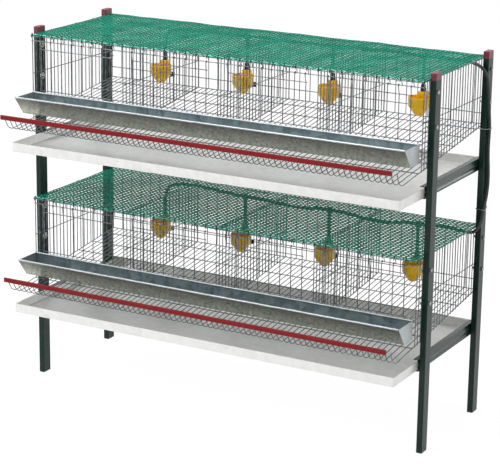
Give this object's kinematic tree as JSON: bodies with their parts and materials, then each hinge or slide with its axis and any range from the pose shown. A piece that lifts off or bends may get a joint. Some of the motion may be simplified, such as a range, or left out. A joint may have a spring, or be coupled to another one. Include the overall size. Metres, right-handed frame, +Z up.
{
  "type": "quail cage",
  "caption": "Two-tier wire quail cage on a post stand, with sloping egg floors, feed troughs, cup drinkers on a hose, lift-up doors and slide-out dropping trays.",
  "frame": {"origin": "on the floor, under the middle of the object's outline", "axes": "+X to the right seen from the front, +Y to the back, +Z up; the egg lips and doors face -Y"},
  "size_m": [1.1036, 0.5056, 0.91],
  "materials": {
    "post_paint": "dark green gloss paint",
    "cap_plastic": "moulded, satin",
    "foot_plastic": "moulded, matt",
    "rail_paint": "dark green gloss paint",
    "bolt_steel": "zinc plated",
    "mesh_wire": "galvanised wire",
    "net_plastic": "moulded net, satin",
    "strip_plastic": "extruded, glossy",
    "trough_sheet": "galvanised sheet with spangle",
    "tray_sheet": "bright galvanised sheet",
    "drinker_plastic": "moulded, glossy",
    "fitting_plastic": "moulded, satin",
    "hose_rubber": "extruded, matt",
    "pin_steel": "polished"
  },
  "bodies": {
    "root": {"post_front_left": "post_paint", "post_front_right": "post_paint", "post_rear_left": "post_paint", "post_rear_right": "post_paint", "post_caps": "cap_plastic", "foot_plugs": "foot_plastic", "cage_bolts": "bolt_steel", "hose_ties": "bolt_steel", "water_hose": "hose_rubber", "valve_pins": "pin_steel", "lower_rail_left": "rail_paint", "lower_left_mesh": "mesh_wire", "lower_rail_right": "rail_paint", "lower_right_mesh": "mesh_wire", "lower_floor_mesh": "mesh_wire", "lower_back_mesh": "mesh_wire", "lower_front_grille": "mesh_wire", "lower_partition_1": "mesh_wire", "lower_partition_2": "mesh_wire", "lower_partition_3": "mesh_wire", "lower_roof_net": "net_plastic", "lower_net_rings": "bolt_steel", "lower_egg_strip": "strip_plastic", "lower_hose_fittings": "fitting_plastic", "lower_drop_tubes": "hose_rubber", "lower_drinker_1": "drinker_plastic", "lower_drinker_2": "drinker_plastic", "lower_drinker_3": "drinker_plastic", "lower_drinker_4": "drinker_plastic", "upper_rail_left": "rail_paint", "upper_left_mesh": "mesh_wire", "upper_rail_right": "rail_paint", "upper_right_mesh": "mesh_wire", "upper_floor_mesh": "mesh_wire", "upper_back_mesh": "mesh_wire", "upper_front_grille": "mesh_wire", "upper_partition_1": "mesh_wire", "upper_partition_2": "mesh_wire", "upper_partition_3": "mesh_wire", "upper_roof_net": "net_plastic", "upper_net_rings": "bolt_steel", "upper_egg_strip": "strip_plastic", "upper_hose_fittings": "fitting_plastic", "upper_drop_tubes": "hose_rubber", "upper_drinker_1": "drinker_plastic", "upper_drinker_2": "drinker_plastic", "upper_drinker_3": "drinker_plastic", "upper_drinker_4": "drinker_plastic"},
    "lower_door_1": {"lower_door_1": "mesh_wire"},
    "lower_door_2": {"lower_door_2": "mesh_wire"},
    "lower_door_3": {"lower_door_3": "mesh_wire"},
    "lower_door_4": {"lower_door_4": "mesh_wire"},
    "lower_trough": {"lower_feed_trough": "trough_sheet"},
    "lower_tray": {"lower_dropping_tray": "tray_sheet"},
    "upper_door_1": {"upper_door_1": "mesh_wire"},
    "upper_door_2": {"upper_door_2": "mesh_wire"},
    "upper_door_3": {"upper_door_3": "mesh_wire"},
    "upper_door_4": {"upper_door_4": "mesh_wire"},
    "upper_trough": {"upper_feed_trough": "trough_sheet"},
    "upper_tray": {"upper_dropping_tray": "tray_sheet"}
  },
  "joints": [
    {"name": "lower_door_1_hinge", "type": "hinge", "parent": "root", "child": "lower_door_1", "pos_m": [-0.40047, -0.12725, 0.465], "axis": [-1, 0, 0], "range_deg": [0, 100]},
    {"name": "lower_door_2_hinge", "type": "hinge", "parent": "root", "child": "lower_door_2", "pos_m": [-0.13602, -0.12725, 0.465], "axis": [-1, 0, 0], "range_deg": [0, 100]},
    {"name": "lower_door_3_hinge", "type": "hinge", "parent": "root", "child": "lower_door_3", "pos_m": [0.12843, -0.12725, 0.465], "axis": [-1, 0, 0], "range_deg": [0, 100]},
    {"name": "lower_door_4_hinge", "type": "hinge", "parent": "root", "child": "lower_door_4", "pos_m": [0.39287, -0.12725, 0.465], "axis": [-1, 0, 0], "range_deg": [0, 100]},
    {"name": "lower_trough_lift", "type": "slide", "parent": "root", "child": "lower_trough", "axis": [0, 0, 1], "range_m": [0, 0.03]},
    {"name": "lower_tray_slide", "type": "slide", "parent": "root", "child": "lower_tray", "axis": [0, -1, 0], "range_m": [0, 0.25]},
    {"name": "upper_door_1_hinge", "type": "hinge", "parent": "root", "child": "upper_door_1", "pos_m": [-0.40047, -0.12725, 0.881], "axis": [-1, 0, 0], "range_deg": [0, 100]},
    {"name": "upper_door_2_hinge", "type": "hinge", "parent": "root", "child": "upper_door_2", "pos_m": [-0.13602, -0.12725, 0.881], "axis": [-1, 0, 0], "range_deg": [0, 100]},
    {"name": "upper_door_3_hinge", "type": "hinge", "parent": "root", "child": "upper_door_3", "pos_m": [0.12843, -0.12725, 0.881], "axis": [-1, 0, 0], "range_deg": [0, 100]},
    {"name": "upper_door_4_hinge", "type": "hinge", "parent": "root", "child": "upper_door_4", "pos_m": [0.39287, -0.12725, 0.881], "axis": [-1, 0, 0], "range_deg": [0, 100]},
    {"name": "upper_trough_lift", "type": "slide", "parent": "root", "child": "upper_trough", "axis": [0, 0, 1], "range_m": [0, 0.03]},
    {"name": "upper_tray_slide", "type": "slide", "parent": "root", "child": "upper_tray", "axis": [0, -1, 0], "range_m": [0, 0.25]}
  ]
}
